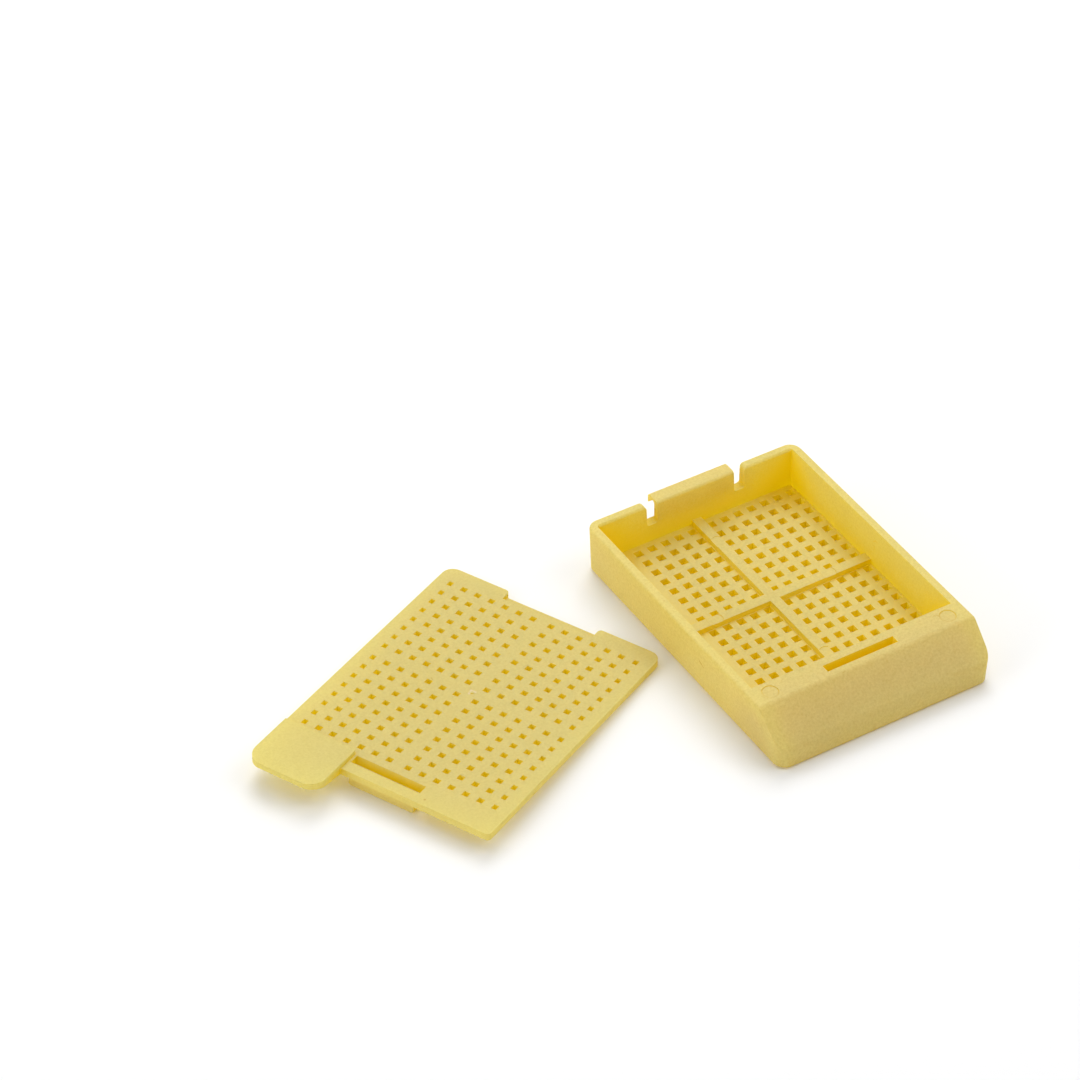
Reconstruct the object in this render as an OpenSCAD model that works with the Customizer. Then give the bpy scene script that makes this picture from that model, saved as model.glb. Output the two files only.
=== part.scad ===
// Tissue cassette: a perforated moulded base with four shallow compartments, a sloping
// writing face in front and a hooked tab behind, and its latching lid, which lies beside
// the base on its rear edge and its latch. The origin is on the table under the inner
// edge of the rear wall. +X is to the right seen from the writing face, which looks to -Y.

/* [Base body] */
// Width over the rim
base_w = 28.5; // [26:0.5:34]
// Length of the rim, from the rear face to the top of the writing face
rim_l = 35.4; // [33:0.2:44]
// Height of the rim over the table
base_h = 6.4; // [5.8:0.1:8]
// Thickness of the side walls at the rim
side_wall = 1.05; // [0.9:0.05:1.4]
// Thickness of the rear wall at the rim
rear_wall = 1.15; // [1.05:0.05:1.5]
// Draft of the outer side faces, in degrees
side_draft = 2.7; // [0:0.1:4]
// Draft of the side walls inside the compartments, in degrees
inner_side_draft = 1.7; // [0:0.1:4]
// Draft of the end walls inside the compartments, in degrees
inner_end_draft = 4; // [0:0.5:6]
// Radius of the two rear corners, seen from above
rear_corner_r = 1.5; // [0.8:0.1:2.5]
// Radius of the two front corners, seen from above
front_corner_r = 1.6; // [0.8:0.1:2]
// Radius of the corners inside the compartments, seen from above
inner_corner_r = 0.15; // [0.1:0.05:0.5]
// Radius of the rear wall's inner edge along the rim
well_edge_r = 0.4; // [0.2:0.05:0.45]
// Radius of the outer edge along the underside
bottom_r = 0.55; // [0.2:0.05:0.7]

/* [Writing face] */
// Slope of the writing face from the horizontal, in degrees
face_angle = 42; // [36:1:50]
// Height of the upright foot below the writing face
foot_h = 2.6; // [2.2:0.1:3.2]
// Thickness of the writing face and of its foot
face_t = 1.1; // [0.9:0.05:1.4]
// Radius between the writing face and its foot
face_r = 1.8; // [0.8:0.1:2.2]

/* [Floor and ribs] */
// Height of the top of the floor over the table
floor_z = 1.35; // [1.1:0.05:1.8]
// Thickness of the perforated floor
floor_t = 0.75; // [0.6:0.05:1]
// Height of the ribs between the compartments
rib_h = 0.6; // [0.3:0.05:1.2]
// Width of the ribs at the top
rib_t = 1.25; // [0.8:0.05:1.8]
// Draft of the rib sides, in degrees
rib_draft = 10; // [0:1:15]
// Distance of the cross rib's middle from the rear face
cross_rib_at = 17.05; // [15:0.1:20]

/* [Floor holes] */
// Side of the square holes in the floor
hole = 0.95; // [0.7:0.05:1.1]
// Columns of holes in each compartment
cols = 7; // [4:1:7]
// Rows of holes in each compartment
rows = 8; // [4:1:8]
// Distance of the first hole's middle from the middle of a rib
hole_to_rib = 1.3; // [1.25:0.05:1.6]
// Distance of the last column's middle from the side wall
hole_to_side = 0.8; // [0.7:0.05:1.2]
// Distance of the last row's middle from the rear wall
hole_to_rear = 1.2; // [0.8:0.05:1.4]
// Distance of the last row's middle from the ledge
hole_to_ledge = 0.75; // [0.7:0.05:1.2]

/* [Ledge and latch slot] */
// Width of the flat ledge behind the writing face
ledge_w = 3; // [2.8:0.1:3.6]
// Thickness of the ledge
ledge_t = 1.1; // [0.9:0.05:1.3]
// Length of the slot that takes the lid's latch
slot_w = 9.25; // [6:0.05:12]
// Width of the slot
slot_d = 1.03; // [0.9:0.01:1.2]
// Distance of the slot from the top edge of the writing face
slot_setback = 0.9; // [0.7:0.05:1.1]

/* [Rear hook] */
// Width of the hooked tab in the rear wall
hook_w = 10.46; // [8:0.02:13]
// Width of the notch at each end of the tab
notch_w = 1.4; // [1:0.05:2]
// Depth of the notches below the rim
notch_h = 2.8; // [2:0.1:3.2]
// Thickness of the tab below its hook
tab_t = 0.6; // [0.55:0.01:0.9]
// Radius of the rim's corners beside the notches
notch_ease = 0.55; // [0.3:0.05:0.8]
// Reach of the hook behind the rear face
hook_reach = 1.05; // [0.8:0.05:1.3]
// Distance of the hook's tip below the rim
hook_drop = 1.25; // [1.1:0.05:1.5]
// Thickness of the hook at its root
hook_root_t = 0.38; // [0.3:0.02:0.5]

/* [Lid] */
// Thickness of the lid's border
lid_t = 0.9; // [0.8:0.05:1.2]
// Thickness of the perforated panel inside the border
panel_t = 0.55; // [0.45:0.05:0.7]
// Distance of the lid's sides from the sides of the rim
lid_side_gap = 0.12; // [0:0.02:0.3]
// Distance of the lid's ends from the ends of the rim
lid_end_gap = 0.02; // [0:0.02:0.3]
// Shift of the shut lid to the rear, where the hook holds it
lid_set = 0.3; // [0:0.05:0.4]
// Side of the square holes in the lid
lid_hole = 0.74; // [0.5:0.02:0.8]
// Width of the holes in the lid's two outer columns
edge_hole = 0.6; // [0.4:0.02:0.7]
// Distance of the lid's first hole from its middle line
lid_hole_start = 1.19; // [1:0.01:1.4]
// Distance of the panel's edge from the outer holes
panel_margin = 0.45; // [0.2:0.05:0.6]
// Radius of the lid's rear corners
lid_corner_r = 1.4; // [0.8:0.1:2]
// Radius of the lid's front corner
lid_front_r = 0.5; // [0.3:0.1:1]

/* [Lid rear edge] */
// Depth of the recess between the lid's two ears
ear_l = 0.65; // [0.4:0.05:0.8]
// Width of the thinned lip in the recess
lip_l = 0.9; // [0.5:0.05:1]
// Thickness of the lip
lip_t = 0.45; // [0.3:0.05:0.6]

/* [Thumb tab] */
// Width of the thumb tab
thumb_w = 9.2; // [7:0.1:12]
// Reach of the thumb tab past the lid's front edge
thumb_reach = 4.7; // [3.5:0.1:6]
// Length of the raised pad on the lid behind that edge
pad_l = 3; // [2:0.1:3.2]
// Height of the pad over the lid
pad_h = 0.45; // [0.2:0.05:0.7]
// Thickness of the thumb tab at its tip
thumb_tip_t = 0.75; // [0.5:0.05:1]
// Distance of the thumb tab from the lid's side
thumb_inset = 0.15; // [0:0.05:0.6]
// Radius of the thumb tab's corners
thumb_r = 2.1; // [1:0.1:3]

/* [Latch] */
// Depth of the latch below the lid
latch_h = 1.75; // [1.65:0.05:2.2]
// Thickness of the latch
latch_t = 0.83; // [0.5:0.01:0.83]
// Radius of the latch's lower corners, seen from the front
latch_r = 0.5; // [0.1:0.1:0.8]
// Clearance in front of the latch in its slot
latch_gap = 0.06; // [0.02:0.02:0.12]
// Clearance at each end of the latch in its slot
latch_end_gap = 0.45; // [0.1:0.05:0.8]
// Overlap of the latch's barb under the ledge
catch_l = 0.25; // [0.15:0.05:0.35]
// Opening in the lid over the barb, from the latch to the rear
relief_l = 1.24; // [1.1:0.02:1.3]
// Length by which that opening passes each end of the latch
relief_end = 0.25; // [0.1:0.05:0.5]

/* [Loose lid] */
// Turn of the lid on the table, in degrees
lid_turn = -63.7; // [-75:0.1:-45]
// Gap between the base and the box round the lid
lid_gap = 1; // [0.5:0.1:20]
// Distance of the lid's middle in front of the rear wall
lid_along = 11.85; // [0:0.05:30]

/* [Moulding marks] */
// Radius of the ejector marks
pin_r = 0.92; // [0.5:0.02:1]
// Depth of the ejector marks
pin_d = 0.07; // [0.02:0.01:0.1]
// Radius of the gate dimple in the middle of the lid
gate_r = 0.85; // [0.4:0.05:0.85]
// Depth of the gate dimple
gate_d = 0.12; // [0.05:0.01:0.2]

/* [Hidden] */
$fn = 48;

steps = 8;        // segments in each rounded corner of an outline
over = 1;         // how far a cut runs past the surface that it opens
root = 0.3;       // how far a rib runs into the wall or floor that carries it
skin = 0.01;      // how far one outline lies outside another that shapes the same face

rear_y = rear_wall;
face_top_y = rear_y - rim_l;
front_y = face_top_y - (base_h - foot_h) / tan(face_angle);
ledge_y = face_top_y + ledge_w;
cross_y = rear_y - cross_rib_at;

slot_front_y = face_top_y + slot_setback;
slot_rear_y = slot_front_y + slot_d;
catch_room = 0.1;                                 // clearance behind the barb
hollow_y = slot_rear_y + catch_l + catch_room;

notch_z = base_h - notch_h;
tab_y = rear_y - rear_wall + tab_t;

lid_w = base_w - 2 * lid_side_gap;
lid_rear = cross_rib_at - lid_end_gap;            // middle of the lid to its rear edge
lid_front = rim_l - cross_rib_at - lid_end_gap;   // middle of the lid to its front edge
ear_x = (hook_w + notch_w) / 2;
latch_w = slot_w - 2 * latch_end_gap;
latch_front = slot_front_y - cross_y - lid_set + latch_gap;   // down to catch_y in the lid's frame
latch_rear = latch_front + latch_t;
catch_y = slot_rear_y - cross_y - lid_set + catch_l;
thumb_x = -lid_w / 2 + thumb_inset;

lid_tilt = atan(latch_h / (lid_rear - latch_rear));
lid_lift = lid_rear * sin(lid_tilt);
lid_reach = cos(lid_turn) * lid_w / 2 - sin(lid_turn) * lid_rear;
lid_x = -base_w / 2 - lid_gap - lid_reach;
lid_y = -lid_along;

// Half the outer width, half the inner width and the inner faces of the end walls at height z.
function outer_half(z) = base_w / 2 - (base_h - z) * tan(side_draft);
function inner_half(z) = base_w / 2 - side_wall - (base_h - z) * tan(inner_side_draft);
function inner_rear(z) = rear_y - rear_wall - (base_h - z) * tan(inner_end_draft);
function inner_front(z) = ledge_y + (base_h - z) * tan(inner_end_draft);

// Evenly spaced values from a to b, and the same on both sides of zero.
function spread(a, b, n) = [for (i = [0:n - 1]) a + (b - a) * i / (n - 1)];
function both(list) = concat([for (v = list) -v], list);

floor_cols = both(spread(hole_to_rib, inner_half(floor_z) - hole_to_side, cols));
rear_rows = spread(hole_to_rib, inner_rear(floor_z) - hole_to_rear - cross_y, rows);
front_rows = spread(-hole_to_rib, inner_front(floor_z) + hole_to_ledge - cross_y, rows);
last_col = max(floor_cols);
lid_cols = both(spread(lid_hole_start, last_col, cols));
lid_rear_rows = spread(lid_hole_start, max(rear_rows), rows);
lid_front_rows = spread(-lid_hole_start, min(front_rows), rows);

// Outline with rounded corners from points [x, y, radius]; a radius left out is 0.
function unit(v) = v / norm(v);
function arc_points(a, p, b, r) =
    let (u = unit([a[0] - p[0], a[1] - p[1]]), v = unit([b[0] - p[0], b[1] - p[1]]),
         half = acos(u * v) / 2, c = [p[0], p[1]] + unit(u + v) * r / sin(half),
         first = c + [u[1], -u[0]] * r * sign(u[0] * v[1] - u[1] * v[0]),
         start = atan2(first[1] - c[1], first[0] - c[0]),
         turn = (180 - 2 * half) * sign(v[0] * u[1] - v[1] * u[0]))
    [for (i = [0:steps]) c + r * [cos(start + turn * i / steps), sin(start + turn * i / steps)]];
function rounded(pts) =
    let (n = len(pts))
    [for (i = [0:n - 1])
        let (p = pts[i], r = p[2] == undef ? 0 : p[2])
        each r == 0 ? [[p[0], p[1]]] : arc_points(pts[(i + n - 1) % n], p, pts[(i + 1) % n], r)];

// A profile drawn in Y and Z and drawn out along X from x0 to x1.
module along_x(x0, x1, pts)
    translate([x0, 0, 0]) rotate([90, 0, 90]) linear_extrude(x1 - x0) polygon(pts);
// A profile drawn in X and Z and drawn out along Y from y0 to y1.
module along_y(y0, y1, pts)
    translate([0, y1, 0]) rotate([90, 0, 0]) linear_extrude(y1 - y0) polygon(pts);
// A block between two corners.
module block(low, high)
    translate(low) cube(high - low);

// Square or oblong holes, one at each crossing of xs and ys, narrower where x is last_col.
module holes(xs, ys, size, edge_size)
    for (x = xs, y = ys)
        translate([x, y]) square([abs(x) > last_col - size / 2 ? edge_size : size, size], center = true);

// A drafted side with its two upright corners; the body lies to the left of it.
module drafted_side()
    translate([base_w / 2, 0, base_h]) rotate([0, side_draft, 0]) translate([0, 0, -base_h - over])
        linear_extrude(base_h + 2 * over) polygon(rounded([
            [0, front_y - skin, front_corner_r], [0, rear_y + skin, rear_corner_r],
            [-2 * base_w, rear_y + skin], [-2 * base_w, front_y - skin]]));

// The outer form: the side view drawn out, cut to the two drafted sides, with a rounded foot.
module base_block() intersection() {
    along_x(-base_w, base_w, rounded([
        [rear_y, 0, bottom_r], [rear_y, base_h], [face_top_y, base_h],
        [front_y, foot_h, face_r], [front_y, 0, bottom_r]]));
    drafted_side();
    mirror([1, 0, 0]) drafted_side();
    along_y(front_y - over, rear_y + over, rounded([
        [-outer_half(0) - skin, 0, bottom_r], [outer_half(0) + skin, 0, bottom_r],
        [outer_half(base_h + over) + skin, base_h + over],
        [-outer_half(base_h + over) - skin, base_h + over]]));
}

// The room over the floor, wider at the top by the drafts.
module compartments() {
    top = base_h + over;
    side = inner_half(top) + 0.02;
    far = rim_l + over;
    intersection() {
        along_y(ledge_y - over, rear_y, [
            [-inner_half(floor_z), floor_z], [inner_half(floor_z), floor_z],
            [inner_half(top), top], [-inner_half(top), top]]);
        translate([0, inner_rear(base_h), base_h]) rotate([-inner_end_draft, 0, 0])
            translate([0, 0, -base_h - over]) linear_extrude(top + 2 * over) polygon(rounded([
                [-side, -far], [side, -far], [side, 0, inner_corner_r], [-side, 0, inner_corner_r]]));
        translate([0, inner_front(base_h), base_h]) rotate([inner_end_draft, 0, 0])
            translate([0, 0, -base_h - over]) linear_extrude(top + 2 * over) polygon(rounded([
                [-side, 0, inner_corner_r], [side, 0, inner_corner_r], [side, far], [-side, far]]));
    }
}

// The shallow recess that lifts the floor off the table.
module under_floor()
    block([-inner_half(floor_z), inner_front(floor_z), -over],
          [inner_half(floor_z), inner_rear(floor_z), floor_z - floor_t]);

// The room under the ledge and the writing face, open below.
module front_hollow() {
    room_y = face_top_y + face_t * sin(face_angle);
    room_z = base_h - face_t * cos(face_angle);
    top_z = base_h - ledge_t;
    foot_y = front_y + face_t;
    along_x(-inner_half(floor_z), inner_half(floor_z), [
        [hollow_y, -over], [hollow_y, top_z],
        [room_y - (room_z - top_z) / tan(face_angle), top_z],
        [foot_y, room_z - (room_y - foot_y) * tan(face_angle)], [foot_y, -over]]);
}

// The slot in the ledge for the lid's latch.
module latch_slot()
    block([-slot_w / 2, slot_front_y, base_h - ledge_t - over], [slot_w / 2, slot_rear_y, base_h + over]);

// The two notches beside the hooked tab, rounded below and eased at their outer top corner.
module notches() {
    inner_x = hook_w / 2;
    outer_x = inner_x + notch_w;
    for (side = [-1, 1]) scale([side, 1, 1]) {
        along_y(-over, rear_y + over, rounded([
            [inner_x, notch_z, 0.3], [outer_x, notch_z, 0.3],
            [outer_x, base_h + over], [inner_x, base_h + over]]));
        translate([0, rear_y + over, 0]) rotate([90, 0, 0]) linear_extrude(rear_y + 2 * over) difference() {
            translate([outer_x, base_h - notch_ease]) square([notch_ease, notch_ease + over]);
            translate([outer_x + notch_ease, base_h - notch_ease]) circle(notch_ease);
        }
    }
    block([-ear_x, tab_y, notch_z], [ear_x, rear_y + over, base_h + over]);
}

// The cut that rounds the rear wall's inner edge along the rim.
module rear_ease() {
    side = inner_half(base_h) - inner_corner_r;
    foot_y = inner_rear(0) - skin;
    along_x(-side, side, concat(
        arc_points([foot_y, 0], [inner_rear(base_h) - skin, base_h + skin], [rear_y, base_h + skin],
            well_edge_r),
        [[well_edge_r, base_h + over], [-over, base_h + over], [-over, base_h - well_edge_r]]));
}

// The hook along the top of the tab, which reaches back and down behind the rear face.
module hook() {
    tip_y = rear_y + hook_reach;
    tip_t = 0.42;
    corner = 0.35;
    root_y = tab_y - 0.12;
    arch_l = tip_y - tip_t - tab_y;
    arch_z = base_h - hook_root_t;
    tip_z = base_h - hook_drop;
    intersection() {
        along_x(-hook_w / 2, hook_w / 2, rounded([
            [root_y, base_h], [root_y, tip_z], [tab_y, tip_z], [tab_y, arch_z, 0.3 * arch_l],
            [tab_y + 0.45 * arch_l, arch_z, 0.15 * arch_l], [tip_y - tip_t, tip_z + tip_t / 4, 0.15],
            [tip_y, tip_z, 0.18], [tip_y, base_h, 0.6 * hook_drop]]));
        linear_extrude(base_h) polygon(rounded([
            [-hook_w / 2, 0], [hook_w / 2, 0],
            [hook_w / 2, tip_y, corner], [-hook_w / 2, tip_y, corner]]));
    }
}

// The long rib and the cross rib, one profile drawn out both ways.
module ribs() {
    foot = rib_t / 2 + (rib_h + root) * tan(rib_draft);
    low = floor_z - root;
    high = floor_z + rib_h;
    profile = [[-foot, low], [foot, low], [rib_t / 2, high], [-rib_t / 2, high]];
    along_y(inner_front(high) - root, inner_rear(high) + root, profile);
    translate([0, cross_y, 0])
        along_x(-inner_half(high) - root, inner_half(high) + root, profile);
}

// Round marks left by the ejector pins, on the ledge and on the ribs.
module ejector_marks() {
    ledge_mark_x = slot_w / 2 + 7.1;
    ledge_mark_y = (ledge_y + face_top_y) / 2;
    rib_mark_x = (inner_half(floor_z) + rib_t) / 2 + 0.45;
    rib_mark_y = rib_mark_x + 3.3;
    for (side = [-1, 1]) {
        translate([side * ledge_mark_x, ledge_mark_y, base_h - pin_d]) cylinder(r = pin_r, h = over);
        translate([side * rib_mark_x, cross_y, floor_z + rib_h - pin_d]) cylinder(r = pin_r, h = over);
        translate([0, cross_y + side * rib_mark_y, floor_z + rib_h - pin_d]) cylinder(r = pin_r, h = over);
    }
}

module base() color("#e6d081") difference() {
    union() {
        difference() {
            base_block();
            compartments();
            rear_ease();
            notches();
        }
        hook();
        ribs();
    }
    under_floor();
    front_hollow();
    latch_slot();
    ejector_marks();
    translate([0, cross_y, -over]) linear_extrude(floor_z + 2 * over)
        holes(floor_cols, concat(rear_rows, front_rows), hole, hole);
}

// The lid in its own frame: underside at z = 0, its middle over the cross rib when it is shut.
module lid_plate() difference() {
    linear_extrude(lid_t) difference() {
        polygon(rounded([
            [-lid_w / 2, -lid_front, thumb_r], [lid_w / 2, -lid_front, lid_front_r],
            [lid_w / 2, lid_rear, lid_corner_r], [-lid_w / 2, lid_rear, lid_corner_r]]));
        translate([-ear_x, lid_rear - ear_l]) square([2 * ear_x, ear_l + over]);
    }
    block([-ear_x, lid_rear - ear_l - lip_l, lip_t], [ear_x, lid_rear, lid_t + over]);
}

// The thinner area round the holes, sunk into the underside.
module panel_recess() {
    edge = lid_hole / 2 + panel_margin;
    side = last_col + edge_hole / 2 + panel_margin;
    block([-side, min(lid_front_rows) - edge, -over], [side, max(lid_rear_rows) + edge, lid_t - panel_t]);
}

// The pad on the lid's front corner and the tab that runs out from it, thinner to its tip.
module thumb_tab() {
    back_y = -lid_front + pad_l;
    tip_y = -lid_front - thumb_reach;
    top_z = lid_t + pad_h;
    intersection() {
        along_x(thumb_x, thumb_x + thumb_w, rounded([
            [back_y, top_z], [back_y, 0], [-lid_front, 0],
            [tip_y, top_z - thumb_tip_t, 0.2], [tip_y, top_z, 0.1]]));
        linear_extrude(top_z) polygon(rounded([
            [thumb_x, tip_y, thumb_r], [thumb_x + thumb_w, tip_y, thumb_r],
            [thumb_x + thumb_w, back_y, 0.3], [thumb_x, back_y]]));
    }
}

// The latch under the front edge, with its barb to the rear.
module latch() {
    barb_z = -ledge_t - 0.08;
    half = latch_w / 2;
    intersection() {
        along_x(-half - over, half + over, [
            [latch_front, root], [latch_front, 0.35 - latch_h], [latch_front + 0.15, -latch_h],
            [latch_rear, -latch_h], [catch_y, barb_z - 0.12], [catch_y, barb_z],
            [latch_rear, barb_z], [latch_rear, root]]);
        along_y(latch_front - over, catch_y + over, rounded([
            [-half, -latch_h - skin, latch_r], [half, -latch_h - skin, latch_r],
            [half, 2 * root], [-half, 2 * root]]));
    }
}

// The opening over the barb.
module latch_relief()
    block([-latch_w / 2 - relief_end, latch_rear, -over],
          [latch_w / 2 + relief_end, latch_rear + relief_l, lid_t + over]);

// The dimple round the gate, with the stub of the sprue left in it.
module gate_mark() difference() {
    ball_r = (gate_r * gate_r + gate_d * gate_d) / (2 * gate_d);
    stub_r = 0.2;
    translate([0, 0, lid_t + ball_r - gate_d]) sphere(ball_r);
    translate([0, 0, lid_t - gate_d - skin]) cylinder(r = stub_r, h = gate_d - skin);
}

module lid() color("#e2cd80")
    translate([lid_x, lid_y, lid_lift]) rotate([0, 0, lid_turn]) rotate([-lid_tilt, 0, 0]) {
        difference() {
            union() {
                lid_plate();
                thumb_tab();
            }
            panel_recess();
            latch_relief();
            gate_mark();
            translate([0, 0, -over]) linear_extrude(lid_t + 2 * over)
                holes(lid_cols, concat(lid_rear_rows, lid_front_rows), lid_hole, edge_hole);
        }
        latch();
    }

base();
lid();
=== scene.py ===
import math

import bmesh
import bpy
from mathutils import Matrix, Vector


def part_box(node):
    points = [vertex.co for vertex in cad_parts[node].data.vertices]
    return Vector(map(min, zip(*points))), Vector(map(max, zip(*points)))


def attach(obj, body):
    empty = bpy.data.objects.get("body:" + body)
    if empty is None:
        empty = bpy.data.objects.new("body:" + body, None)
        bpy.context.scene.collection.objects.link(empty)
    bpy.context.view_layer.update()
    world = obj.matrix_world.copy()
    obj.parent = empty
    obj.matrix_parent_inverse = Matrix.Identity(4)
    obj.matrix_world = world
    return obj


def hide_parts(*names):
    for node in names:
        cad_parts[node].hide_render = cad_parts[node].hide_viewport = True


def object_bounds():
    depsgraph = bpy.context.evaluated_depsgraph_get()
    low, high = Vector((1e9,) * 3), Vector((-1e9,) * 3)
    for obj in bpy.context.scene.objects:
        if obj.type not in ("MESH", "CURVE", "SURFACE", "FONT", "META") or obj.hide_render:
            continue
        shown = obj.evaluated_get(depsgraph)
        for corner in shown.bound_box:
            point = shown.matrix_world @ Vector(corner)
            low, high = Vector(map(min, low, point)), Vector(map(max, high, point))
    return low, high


# A tissue cassette: its base and its loose lid. Each is a copy of the CAD node's own mesh with
# softened edges, in a moulded plastic. Blender is in metres, and MM turns millimetres into them.
MM = 0.001

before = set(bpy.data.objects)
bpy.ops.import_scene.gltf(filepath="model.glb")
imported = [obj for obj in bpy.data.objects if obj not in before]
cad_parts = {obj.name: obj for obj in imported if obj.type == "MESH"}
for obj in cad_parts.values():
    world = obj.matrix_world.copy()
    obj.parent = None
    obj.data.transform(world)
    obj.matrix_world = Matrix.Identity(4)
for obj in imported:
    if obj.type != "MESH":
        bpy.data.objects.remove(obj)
cad_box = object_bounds()


# ---------------------------------------------------------------- node helpers
class Nodes:
    """A short way to write a node tree; an input is a number, a vector, a colour or an output."""

    def __init__(self, tree):
        self.tree = tree
        tree.nodes.clear()

    def new(self, kind, inputs=None, **settings):
        node = self.tree.nodes.new(kind)
        for key, value in settings.items():
            setattr(node, key, value)
        for key, value in (inputs or {}).items():
            if isinstance(value, bpy.types.NodeSocket):
                self.tree.links.new(value, node.inputs[key])
            else:
                node.inputs[key].default_value = value
        return node

    def math(self, operation, a, b=0.0):
        return self.new("ShaderNodeMath", {0: a, 1: b}, operation=operation).outputs[0]

    def vector(self, operation, a, b, output=0):
        return self.new("ShaderNodeVectorMath", {0: a, 1: b}, operation=operation).outputs[output]

    def noise(self, place, scale, detail, roughness):
        return self.new("ShaderNodeTexNoise", {
            "Vector": place, "Scale": scale, "Detail": detail, "Roughness": roughness,
        }).outputs["Fac"]

    def ramp(self, value, low, high, out_low=0.0, out_high=1.0):
        """out_low where the value is low, out_high where it is high, and straight in between."""
        return self.new("ShaderNodeMapRange", {
            "Value": value, "From Min": low, "From Max": high,
            "To Min": out_low, "To Max": out_high}).outputs[0]

    def mix(self, factor, a, b):
        """Colour a where the factor is 0 and b where it is 1."""
        return self.new("ShaderNodeMix", {0: factor, 6: a, 7: b}, data_type="RGBA").outputs[2]


# ---------------------------------------------------------------- colours
# PALE and GOLD are painted lit and shaded copies of one plastic: pale where light falls, gold in
# recesses.
PALE = (0.82, 0.84, 0.37, 1.0)          # painted light: the lit copy, where light falls straight on, with a painted sheen
PALE_DEEP = (0.80, 0.81, 0.335, 1.0)
GRAIN = (0.565, 0.57, 0.215, 1.0)       # the grain's hollows
LIT_FLOOR = (0.86, 0.83, 0.285, 1.0)    # painted light: the tray's thin floor made brighter, as if lit from below too
GOLD = (0.95, 0.76, 0.01, 1.0)          # painted shade: the shaded copy in recesses, standing in for light that has passed through the plastic
GOLD_DEEP = (0.90, 0.68, 0.0, 1.0)
REAR_GOLD = (0.77, 0.49, 0.0, 1.0)      # painted shade, low on the tray's rear wall
AMBER = (0.74, 0.47, 0.0, 1.0)          # painted shade in the slot of the ledge; also the colour of the mark on the right inner wall
FLOOR_HOLE = (0.82, 0.70, 0.0, 1.0)     # painted shade in the tray's holes
LID_HOLE = (0.73, 0.61, 0.0, 1.0)       # painted shade in the lid's holes and slots
GLOW = (1.0, 0.84, 0.0, 1.0)            # of the light that the plastic lets through
SCUFF = (0.92, 0.90, 0.72, 1.0)
# The colour of real smears, and of the painted shade on the pin marks' outlines.
SMEAR_AND_RING_SHADE = (0.50, 0.42, 0.10, 1.0)
DIRT = (0.30, 0.17, 0.04, 1.0)

# ---------------------------------------------------------------- patterns and ramps
# A ramp goes from 0 at its first number to 1 at its second, or between the two that follow them.

# Noise: scale per metre, detail, roughness.
CLOUD = (130.0, 3.0, 0.5)       # a slow drift of the colour
MOTTLE = (900.0, 3.0, 0.6)
FINE = (3600.0, 2.0, 0.7)       # the spark-eroded grain
DRIFT = (0.35, 0.7)             # ramp from one colour to its deeper one, over cloud or mottle
HOLLOWS = (0.34, 0.70)          # ramp to the GRAIN colour, over fine with some mottle
MOTTLE_SHARE = 0.15             # of the mottle in that
HOLLOWS_MEAN = 0.45             # the share of the GRAIN colour where there is no grain
GRAIN_STRENGTH, GRAIN_DEPTH = 0.7, 0.05     # of the bump; the depth in mm

# How much open sky a point sees within SKY_REACH, in mm: 1 is all of it. Ramps over that, which
# paint light and shade into the colour:
SKY_REACH = 6.0
SKY_LIT_FLOOR = (0.75, 1.0, 1.0, 0.2)   # painted light on the floor, strongest near the walls
SKY_REAR_WALL = (0.98, 0.93)            # the rear wall's inside, and not the writing face
SKY_LOW_REAR = (0.92, 0.76)             # where that painted shade lies: low on that wall
SKY_SIDES = (0.5, 0.84)                 # where an upright face is painted pale, as lit
SKY_TOPS = (0.45, 0.7)                  # where a face that looks up is painted pale, as lit
SKY_NARROW = (0.43, 0.48)               # out of holes and slots, which get painted shade

FACES_UP = (0.45, 0.9)                  # ramps over the normal's z: faces that look up get painted light
FACES_DOWN = (-0.5, -0.9)
FACES_FRONT = (-0.5, -0.9)              # ramp over the normal's y
REAR_WALL_SHADE = (0.0, 1.0, 1.0, 0.5)  # the rear wall is half as pale as its sky makes it
FLOOR_TOP = 1.5                         # just above the tray's floor, in mm, as are the next three
FLOOR_FADE = (0.6, 0.3)                 # ramp above FLOOR_TOP
SLOT_FADE = 1.0                         # from FLOOR_TOP, where holes end, up to the ledge's slot
PLATE_FADE = (0.02, 0.08)               # ramp above the lid's plate
GLOW_IN_RECESS, GLOW_OUTSIDE, GLOW_BELOW = 0.6, 0.5, 0.58       # the share of light let through
# How dark the pin marks' outlines are: painted shade of their small step.
RING_STRENGTH = 0.45
SCRATCH_CORE, RING_CORE = 0.3, 0.2      # the full-strength share of a mark's width


# ---------------------------------------------------------------- the plastic
def scratch(n, place, start, end, width):
    """1 along a short line from start to end, fading to 0 at its width; all in mm."""
    first, run = Vector(start) * MM, (Vector(end) - Vector(start)) * MM
    rel = n.vector("SUBTRACT", place, first)
    along = n.vector("DOT_PRODUCT", rel, run / run.length_squared, "Value")
    along = n.new("ShaderNodeClamp", {"Value": along}).outputs[0]
    near = n.new("ShaderNodeVectorMath", {0: run, "Scale": along}, operation="SCALE").outputs[0]
    away = n.vector("DISTANCE", rel, near, "Value")
    return n.ramp(away, SCRATCH_CORE * width * MM, width * MM, 1.0, 0.0)


def witness(n, place, centre, radius, width):
    """1 on the outline of an ejector pin's round mark, where the painted shade of its small step
    goes, fading to 0 at its width; in mm.
    """
    away = n.vector("DISTANCE", place, Vector(centre) * MM, "Value")
    off = n.math("ABSOLUTE", n.math("SUBTRACT", away, radius * MM))
    return n.ramp(off, RING_CORE * width * MM, width * MM, 1.0, 0.0)


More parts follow.
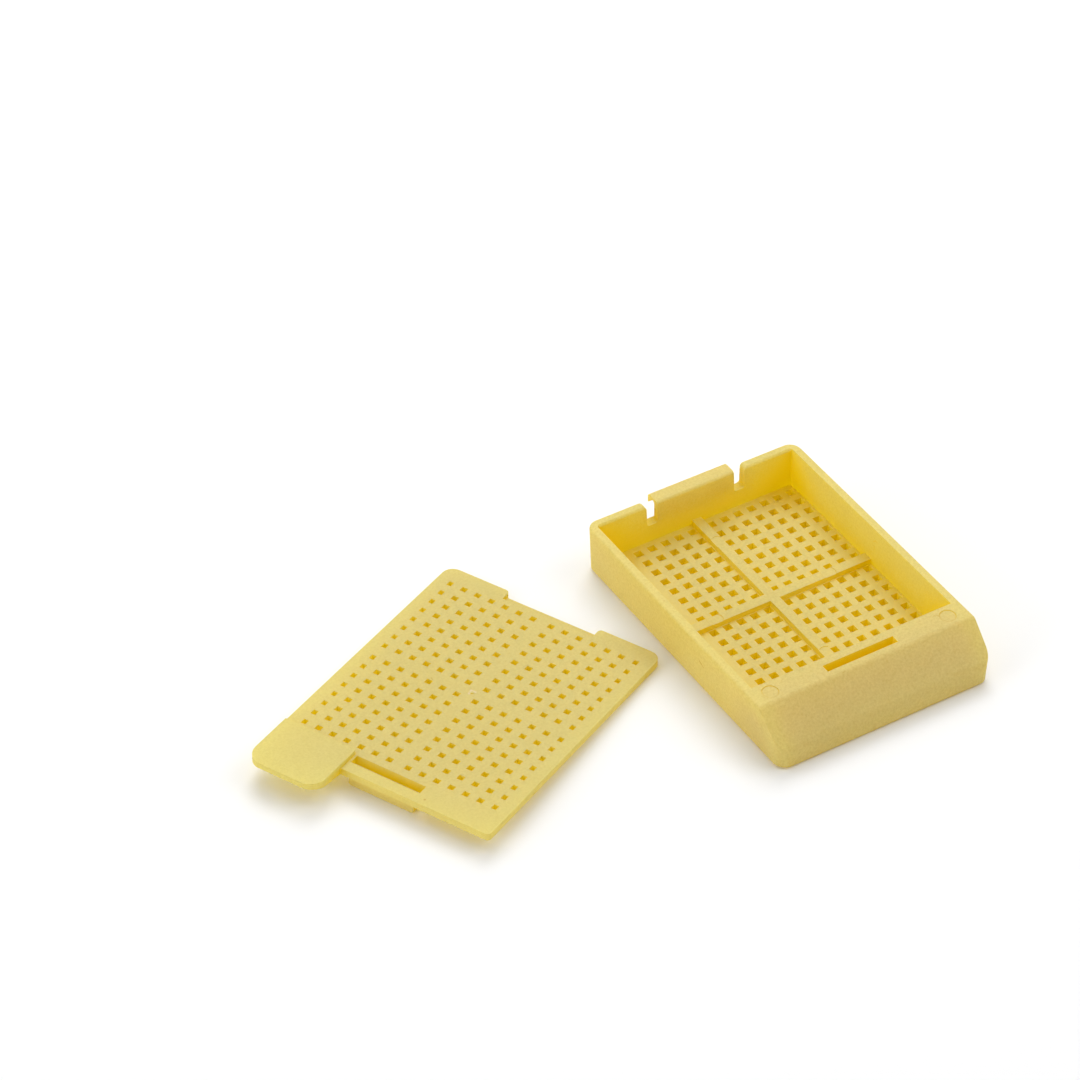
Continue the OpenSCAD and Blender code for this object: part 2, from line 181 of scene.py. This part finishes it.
def plastic(name, grain, offset, rings=(), lines=(), floor_top=None, plate=None):
    """Moulded acetal: slightly translucent, with a fine grain; painted pale where light falls and
    golden in recesses as painted shade.

    grain is its strength, and offset shifts the noise. rings are witness marks, their outlines
    darkened as painted shade of their small step, and lines are scratches with a colour and a
    strength. floor_top is the height that the holes of the base are below, in mm, and plate is the
    normal and level of the lid's top, where nothing is a recess and no shade is painted.
    """
    material = bpy.data.materials.new(name)
    material.use_nodes = True
    n = Nodes(material.node_tree)
    coordinates = n.new("ShaderNodeTexCoord").outputs
    place = coordinates["Object"]
    shifted = n.vector("ADD", place, offset)
    cloud = n.noise(shifted, *CLOUD)
    mottle = n.noise(shifted, *MOTTLE)
    fine = n.noise(shifted, *FINE)
    hollows = n.math("ADD", n.math("MULTIPLY", fine, 1.0 - MOTTLE_SHARE),
                     n.math("MULTIPLY", mottle, MOTTLE_SHARE))
    hollows = n.ramp(hollows, *HOLLOWS, HOLLOWS_MEAN - HOLLOWS_MEAN * grain,
                     HOLLOWS_MEAN + (1.0 - HOLLOWS_MEAN) * grain)
    pale = n.mix(n.ramp(cloud, *DRIFT), PALE, PALE_DEEP)
    pale = n.mix(hollows, pale, GRAIN)
    # Darkens the pin marks' outlines: painted shade of their small step.
    for ring in rings:
        pale = n.mix(n.math("MULTIPLY", witness(n, place, *ring), RING_STRENGTH), pale, SMEAR_AND_RING_SHADE)

    # Painted light and shade: how much open sky a point sees and which way it faces make the colour
    # pale, as lit, or gold, as shaded.
    open_sky = n.new("ShaderNodeAmbientOcclusion", {"Distance": SKY_REACH * MM},
                     only_local=True, samples=4).outputs["AO"]
    _, along, upward = n.new("ShaderNodeSeparateXYZ", {0: coordinates["Normal"]}).outputs
    facing_up = n.ramp(upward, *FACES_UP)
    # narrow: the painted shade in holes and slots.
    narrow = LID_HOLE
    if floor_top:
        height = n.new("ShaderNodeSeparateXYZ", {0: place}).outputs[2]
        narrow = n.mix(n.ramp(height, floor_top * MM, (floor_top + SLOT_FADE) * MM),
                       FLOOR_HOLE, AMBER)
        # on_floor: where the tray's floor gets painted light, strongest near the walls.
        on_floor = n.math("MULTIPLY", facing_up, n.ramp(
            height, *((floor_top + above) * MM for above in FLOOR_FADE)))
        pale = n.mix(n.math("MULTIPLY", on_floor, n.ramp(open_sky, *SKY_LIT_FLOOR)),
                     pale, LIT_FLOOR)
    # rear_wall: the rear wall's inside, whose painted shade is deeper.
    rear_wall = n.math("MULTIPLY", n.ramp(along, *FACES_FRONT), n.ramp(open_sky, *SKY_REAR_WALL))
    sides = n.math("MULTIPLY", n.ramp(open_sky, *SKY_SIDES), n.ramp(rear_wall, *REAR_WALL_SHADE))
    tops = n.math("MULTIPLY", facing_up, n.ramp(open_sky, *SKY_TOPS))
    exposed = n.math("MAXIMUM", sides, tops)
    # The lid's top stays pale: no painted shade there.
    if plate:
        normal, level = plate
        height = n.vector("DOT_PRODUCT", place, normal, "Value")
        exposed = n.math("MAXIMUM", exposed, n.ramp(
            height, *(level + above * MM for above in PLATE_FADE)))
    # gold: the painted shade of recesses, deeper low on the rear wall and in holes and slots.
    gold = n.mix(n.ramp(mottle, *DRIFT), GOLD, GOLD_DEEP)
    # low_rear: painted shade low on the rear wall's inside.
    low_rear = n.math("MULTIPLY", rear_wall, n.ramp(open_sky, *SKY_LOW_REAR))
    gold = n.mix(low_rear, gold, REAR_GOLD)
    gold = n.mix(n.ramp(open_sky, *SKY_NARROW), narrow, gold)
    # tint: painted light where exposed, painted shade elsewhere.
    tint = n.mix(exposed, gold, pale)
    for start, end, width, colour, strength in lines:
        mark = n.math("MULTIPLY", scratch(n, place, start, end, width), strength)
        tint = n.mix(mark, tint, colour)

    bump = n.new("ShaderNodeBump", {
        "Height": fine, "Strength": GRAIN_STRENGTH * grain, "Distance": GRAIN_DEPTH * MM,
    }).outputs["Normal"]
    surface = n.new("ShaderNodeBsdfPrincipled", {
        "Base Color": tint, "Roughness": 0.6, "IOR": 1.48, "Specular IOR Level": 0.8,
        "Normal": bump}).outputs[0]
    glow = n.new("ShaderNodeBsdfTranslucent", {"Color": GLOW}).outputs[0]
    share = n.math("MAXIMUM", n.ramp(exposed, 0.0, 1.0, GLOW_IN_RECESS, GLOW_OUTSIDE),
                   n.ramp(upward, *FACES_DOWN, GLOW_OUTSIDE, GLOW_BELOW))
    both = n.new("ShaderNodeMixShader", {0: share, 1: surface, 2: glow}).outputs[0]
    n.new("ShaderNodeOutputMaterial", {"Surface": both})
    return material


# The lid's top is its largest face; it lies tilted, and plate_level is its height along its normal.
plate_face = max(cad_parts["lid"].data.polygons, key=lambda p: p.area)
plate = plate_face.normal.copy()
plate_level = plate_face.center.dot(plate)

# Each ejector pin's mark: its centre, its radius and the width of its outline, in mm. Its outline
# gets painted shade of the mark's small step.
PIN_MARK = 0.92
base_marks = [((side * 11.725, -32.75, 6.37), PIN_MARK, 0.13) for side in (-1, 1)]
base_marks += [((side * 7.66, -15.9, 1.92), PIN_MARK, 0.10) for side in (-1, 1)]

# Wear that the photograph shows: start and end of a short line, its width in mm, colour, strength.
base_wear = (
    # the scuff on the left side
    ((-14.14, -22.60, 4.02), (-14.13, -22.95, 3.84), 0.15, DIRT, 0.75),
    ((-14.13, -22.95, 3.84), (-14.12, -23.35, 3.66), 0.14, DIRT, 0.6),
    # the curved hair mark on the ledge
    ((10.15, -32.10, 6.40), (10.45, -31.98, 6.40), 0.11, SMEAR_AND_RING_SHADE, 0.35),
    ((10.45, -31.98, 6.40), (10.75, -32.15, 6.40), 0.11, SMEAR_AND_RING_SHADE, 0.45),
    ((10.75, -32.15, 6.40), (11.00, -32.55, 6.40), 0.13, SMEAR_AND_RING_SHADE, 0.55),
    # specks on the writing face's top edge and on the left rim
    ((-3.27, -34.28, 6.37), (-3.01, -34.25, 6.40), 0.10, DIRT, 0.50),
    ((-13.58, -14.49, 6.40), (-13.56, -14.40, 6.40), 0.12, DIRT, 0.40),
    # the mark on the right inner wall
    ((13.10, -16.65, 4.59), (13.12, -16.99, 4.96), 0.11, AMBER, 0.60),
    ((13.12, -16.99, 4.96), (13.12, -17.37, 4.88), 0.10, AMBER, 0.60),
    ((13.10, -16.90, 4.05), (13.10, -16.98, 3.75), 0.10, AMBER, 0.50),
)
lid_wear = (
    # a speck on the border, and a smear
    ((-49.95, -24.43, 2.68), (-49.92, -24.43, 2.68), 0.17, DIRT, 0.80),
    ((-39.37, -7.56, 1.80), (-39.42, -7.92, 1.81), 0.12, SMEAR_AND_RING_SHADE, 0.70),
    # the pale gate mark in the lid's middle
    ((-37.10, -11.85, 1.69), (-36.60, -11.52, 1.67), 0.20, SCUFF, 0.75),
    ((-36.60, -11.52, 1.67), (-36.34, -12.00, 1.68), 0.17, SCUFF, 0.75),
)
base_plastic = plastic("base_plastic", 0.8, (0.011, 0.007, 0.003), base_marks, base_wear,
                       floor_top=FLOOR_TOP)
lid_plastic = plastic("lid_plastic", 0.55, (0.031, 0.002, 0.019), lines=lid_wear,
                      plate=(plate, plate_level))


# ---------------------------------------------------------------- softened edges
# Bevel widths, in mm. At weight 1 an edge's bevel is WIDEST.
WIDEST = 0.5
RIM_EDGE, FRONT_EDGE, LID_EDGE = 0.28, 0.12, 0.06
INNER_EDGE, TAB_EDGE, HOLE_EDGE = 0.05, 0.04, 0.03
BEVEL_SEGMENTS = 3

# Angles between an edge's faces.
CREASE = math.radians(7)        # above this it is an edge, and not part of a curve
SHARP = math.radians(25)        # above this it is softened
SHADED_SHARP = math.radians(40)

# Lengths in mm.
WELD, SLIVER_WELD, SLIVER = 0.008, 0.004, 0.001     # nearer corners and shorter edges go
FLAT = math.radians(0.5)        # faces that are this near to level with each other become one
HOLE_AROUND = 4.2       # a run of level edges that is shorter than this is a small hole's
HOLE_DRAFT = 0.19       # how far in each side of a hole goes, down to the underside

# How much of a normal, or of an edge's direction, is along the part's own up.
LEVEL, UPRIGHT, UNDER, WALL = 0.995, 0.99, 0.9, 0.5


def tidy_mesh(source):
    """The node's mesh as a bmesh, with its flat areas made whole."""
    bm = bmesh.new()
    bm.from_mesh(source.data)
    bmesh.ops.remove_doubles(bm, verts=bm.verts, dist=WELD * MM)
    bmesh.ops.dissolve_limit(bm, angle_limit=FLAT, verts=bm.verts, edges=bm.edges)
    bm.normal_update()
    return bm


def middle_of(edge):
    return (edge.verts[0].co + edge.verts[1].co) / 2


def faces_under(edge, up):
    return any(f.normal.dot(up) < -UNDER for f in edge.link_faces)


def small_loops(edges, limit):
    """The joined runs of the edges, those that are shorter than the limit."""
    left, found = dict.fromkeys(edges), []      # dicts, because a set's order changes by run
    while left:
        stack = [left.popitem()[0]]
        run = []
        while stack:
            edge = stack.pop()
            run.append(edge)
            for vert in edge.verts:
                for other in vert.link_edges:
                    if other in left:
                        del left[other]
                        stack.append(other)
        if sum(edge.calc_length() for edge in run) < limit:
            found.append(run)
    return found


def draft_holes(loops, up):
    """Narrows each hole towards the underside, as a moulded hole is."""
    for loop in loops:
        if faces_under(loop[0], up):
            verts = dict.fromkeys(vert for edge in loop for vert in edge.verts)
            middle = sum((vert.co for vert in verts), Vector()) / len(verts)
            half = sum(edge.calc_length() for edge in loop) / 8     # of a square hole's width
            for vert in verts:
                vert.co = middle + (vert.co - middle) * (1 - HOLE_DRAFT * MM / half)


def weigh_edges(bm, width_of, up):
    """Gives each convex edge its bevel's width as a weight, and returns the small holes' loops."""
    weight = bm.edges.layers.float.new("bevel_weight_edge")
    creases = [e for e in bm.edges if e.is_manifold and e.calc_face_angle() > CREASE]
    level = [e for e in creases if any(abs(f.normal.dot(up)) > LEVEL for f in e.link_faces)]
    loops = small_loops(level, HOLE_AROUND * MM)
    of_holes = {edge for loop in loops for edge in loop}
    for edge in creases:
        in_hole = edge in of_holes
        if edge.is_convex and not (in_hole and faces_under(edge, up)):
            edge[weight] = width_of(edge, middle_of(edge) / MM, in_hole) / WIDEST
    return loops


def bevelled(piece):
    """The piece's mesh with its weighted edges rounded, and without the slivers that this makes."""
    bevel = piece.modifiers.new("edges", "BEVEL")
    bevel.width = WIDEST * MM
    bevel.segments = BEVEL_SEGMENTS
    bevel.limit_method = "WEIGHT"
    bevel.use_clamp_overlap = False
    bevel.miter_outer = "MITER_SHARP"
    depsgraph = bpy.context.evaluated_depsgraph_get()
    rounded = bpy.data.meshes.new_from_object(piece.evaluated_get(depsgraph))
    piece.modifiers.remove(bevel)
    bm = bmesh.new()
    bm.from_mesh(rounded)
    bmesh.ops.remove_doubles(bm, verts=bm.verts, dist=SLIVER_WELD * MM)
    bmesh.ops.dissolve_degenerate(bm, edges=bm.edges, dist=SLIVER * MM)
    bm.to_mesh(rounded)
    bm.free()
    rounded.set_sharp_from_angle(angle=SHADED_SHARP)
    return rounded


def softened(node, width_of, up, shape=None, shift=None):
    """A copy of a CAD node with rounded edges, which replaces it.

    width_of gives each convex edge's width in mm. shape changes the form before the edges get
    their widths, and shift moves the holes after that.
    """
    bm = tidy_mesh(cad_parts[node])
    if shape:
        shape(bm, up)
        bm.normal_update()
    loops = weigh_edges(bm, width_of, up)
    draft_holes(loops, up)
    if shift:
        shift(loops)
    mesh = bpy.data.meshes.new(node + "_moulding")
    bm.to_mesh(mesh)
    bm.free()
    mesh.shade_smooth()
    piece = bpy.data.objects.new(node + "_moulding", mesh)
    bpy.context.scene.collection.objects.link(piece)
    piece.data = bevelled(piece)
    normals = piece.modifiers.new("normals", "WEIGHTED_NORMAL")
    normals.weight = 100
    normals.keep_sharp = True
    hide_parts(node)
    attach(piece, "root")
    return piece


# ---------------------------------------------------------------- the base, in mm
base_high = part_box("base")[1] / MM
FACE_Y, FACE_Z, FACE_X = -34, 0.7, 11   # the writing face's side edges: in front of this y, above z
                                        # and outside x
TAB_HALF, TAB_Y, TAB_Z = 5.23, 0.5, 5   # the hooked tab: half its width, behind this y, above z
TAB_MARGIN = 0.1
RIM_BAND = 0.9                          # the rim's outer edges are this near to the base's side
AT_RIM = 0.01                           # an edge on the rim is this near to its height
REAR_Y, REAR_Z = -0.3, 3.5              # the top of the rear wall with its notches: behind, above
BEHIND_Y, NOTCH_Z = 1.0, 4              # its outside, and the height of the notches' floors
HIDDEN_COLUMN, HIDDEN_BAND = -10.42, 0.6    # x of the holes just behind the left rim
HIDDEN_SHIFT = 0.16


def on_writing_face(normal):
    return normal.z > 0.02 and normal.y < -0.5


def base_width(edge, at, in_hole):
    """Widths by place, the same all along each smooth run: the outside is the roundest."""
    if in_hole:
        return HOLE_EDGE
    if edge.calc_face_angle() < SHARP:
        return 0.0
    normals = [f.normal for f in edge.link_faces]
    at_face = at.y < FACE_Y and at.z > FACE_Z and abs(at.x) > FACE_X
    if at_face and any(on_writing_face(normal) for normal in normals):
        return FRONT_EDGE
    if abs(at.x) < TAB_HALF + TAB_MARGIN and at.y > TAB_Y and at.z > TAB_Z:
        return 0.0      # the tab has its own rounding in the CAD
    outer = abs(at.x) > base_high.x - RIM_BAND or min(n.z for n in normals) > WALL
    if abs(at.z - base_high.z) < AT_RIM and outer:
        return RIM_EDGE
    if at.z > REAR_Z and at.y > REAR_Y:
        behind = at.y > BEHIND_Y and (abs(at.x) > TAB_HALF or at.z < NOTCH_Z)
        return RIM_EDGE if behind else TAB_EDGE
    return INNER_EDGE


def move_hidden_holes(loops):
    """Moves the holes just behind the left rim under it: the photo shows nothing of them."""
    for loop in loops:
        if abs(loop[0].verts[0].co.x / MM - HIDDEN_COLUMN) < HIDDEN_BAND:
            for vert in {vert for edge in loop for vert in edge.verts}:
                vert.co.x -= HIDDEN_SHIFT * MM


# ---------------------------------------------------------------- the lid, in mm
lid_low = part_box("lid")[0] / MM
THUMB_REACH = 6.0           # from the lid's leftmost point, the thumb tab, rounded in the CAD
EAR_CORNER, EAR_SEGMENTS = 0.5, 5           # the radius at the ears' corners
EAR_ANGLE = math.radians(80)                # these corners turn by more than this
EAR_HEIGHT = 0.8            # the ears' upright edges are longer than this
EAR_BELOW = 0.6             # the ears lie on the table, so their middles are below this
RELIEF_FOOT = Vector((-50.76, -18.76, 1.68))    # of the rear wall in the opening over the latch
RELIEF_LEAN = 0.45


def lid_width(edge, at, in_hole):
    if in_hole:
        return HOLE_EDGE
    if edge.calc_face_angle() < SHARP:
        return 0.0
    return 0.0 if at.x < lid_low.x + THUMB_REACH else LID_EDGE


def shape_lid(bm, up):
    """Rounds the ears' corners, and leans the rear wall of the opening over the latch.

    The lean hides the table, which would show through the opening and doesn't in the photo.
    """
    ears = [e for e in bm.edges
            if e.is_manifold and e.is_convex and e.calc_face_angle() > EAR_ANGLE
            and abs((e.verts[1].co - e.verts[0].co).normalized().dot(up)) > UPRIGHT
            and e.calc_length() > EAR_HEIGHT * MM and middle_of(e).z < EAR_BELOW * MM]
    bmesh.ops.bevel(bm, geom=ears, offset=EAR_CORNER * MM, segments=EAR_SEGMENTS, profile=0.5,
                    affect="EDGES")
    foot = min((e for e in bm.edges if faces_under(e, up)),
               key=lambda e: (middle_of(e) - RELIEF_FOOT * MM).length)
    wall = next(f.normal for f in foot.link_faces if abs(f.normal.dot(up)) < WALL)
    for vert in foot.verts:
        vert.co += wall * RELIEF_LEAN * MM


base_piece = softened("base", base_width, Vector((0, 0, 1)), shift=move_hidden_holes)
lid_piece = softened("lid", lid_width, plate, shape=shape_lid)
base_piece.data.materials.append(base_plastic)
lid_piece.data.materials.append(lid_plastic)

# ---------------------------------------------------------------- floor, light and camera
FLOOR_SIZE = 3.0        # in metres
PALE_GREY = (0.9, 0.9, 0.9, 1.0)
WHITE = (1.0, 1.0, 1.0, 1.0)
SKY_STRENGTH = (0.12, 0.45, 0.6, 0.25)      # from low in the sky to high, and its strength there

lowest, highest = cad_box
middle = (lowest + highest) / 2

bpy.ops.mesh.primitive_plane_add(size=FLOOR_SIZE, location=(middle.x, middle.y, 0.0))
floor = bpy.context.object
floor.name = "floor"
floor_material = bpy.data.materials.new("floor")
floor_material.use_nodes = True
fn = Nodes(floor_material.node_tree)
matt = fn.new("ShaderNodeBsdfPrincipled", {
    "Base Color": PALE_GREY, "Roughness": 0.9, "Specular IOR Level": 0.1}).outputs[0]
fn.new("ShaderNodeOutputMaterial", {"Surface": matt})
floor.data.materials.append(floor_material)

world = bpy.data.worlds.new("studio")
bpy.context.scene.world = world
world.use_nodes = True
wn = Nodes(world.node_tree)
direction = wn.new("ShaderNodeTexCoord").outputs["Generated"]
height = wn.new("ShaderNodeSeparateXYZ", {0: direction}).outputs[2]
sky = wn.new("ShaderNodeBackground", {
    "Color": WHITE, "Strength": wn.ramp(height, *SKY_STRENGTH)}).outputs[0]
wn.new("ShaderNodeOutputWorld", {"Surface": sky})


def softbox(name, azimuth, elevation, power, size=0.4, distance=0.6):
    """A square light that looks at the object; azimuth is counted from the front to the right."""
    turn, rise = math.radians(azimuth), math.radians(elevation)
    towards = Vector((math.sin(turn) * math.cos(rise), -math.cos(turn) * math.cos(rise),
                      math.sin(rise)))
    light = bpy.data.lights.new(name, "AREA")
    light.size = size
    light.energy = power
    lamp = bpy.data.objects.new(name, light)
    lamp.location = middle + towards * distance
    lamp.rotation_euler = (-towards).to_track_quat("-Z", "Y").to_euler()
    bpy.context.scene.collection.objects.link(lamp)


softbox("top", 0, 90, 0.66)
softbox("back", 149, 50, 1.96)
softbox("right", 60, 45, 1.02)
softbox("back_left", -140, 40, 0.62)
softbox("left", -90, 18, 1.14, size=0.3)

# The camera as it was fitted to the photograph: its direction and distance from FIT_CENTRE, how far
# it stands to the right and up from there, and its focal length in pixels of the square image.
AZIMUTH, ELEVATION = math.radians(-31.3132), math.radians(40.9184)
DISTANCE, SHIFT_RIGHT, SHIFT_UP = 459.5001 * MM, -17.1762 * MM, -1.8302 * MM
FIT_CENTRE = Vector((0.0, 0.00115, 0.0))
SENSOR, FOCAL_PIXELS, IMAGE_PIXELS = 36.0, 3985.856, 1080.0
back = Vector((math.sin(AZIMUTH) * math.cos(ELEVATION),
               -math.cos(AZIMUTH) * math.cos(ELEVATION), math.sin(ELEVATION)))
right = Vector((math.cos(AZIMUTH), math.sin(AZIMUTH), 0.0))
up = back.cross(right)
camera_data = bpy.data.cameras.new("camera")
camera_data.lens = SENSOR * FOCAL_PIXELS / IMAGE_PIXELS
camera_data.sensor_width = SENSOR
camera_data.clip_start = 0.01
camera = bpy.data.objects.new("camera", camera_data)
camera.matrix_world = Matrix.Translation(
    back * DISTANCE + right * SHIFT_RIGHT + up * SHIFT_UP + FIT_CENTRE
) @ Matrix((right, up, back)).transposed().to_4x4()
bpy.context.scene.collection.objects.link(camera)
bpy.context.scene.camera = camera

bpy.context.scene.view_settings.view_transform = "Standard"
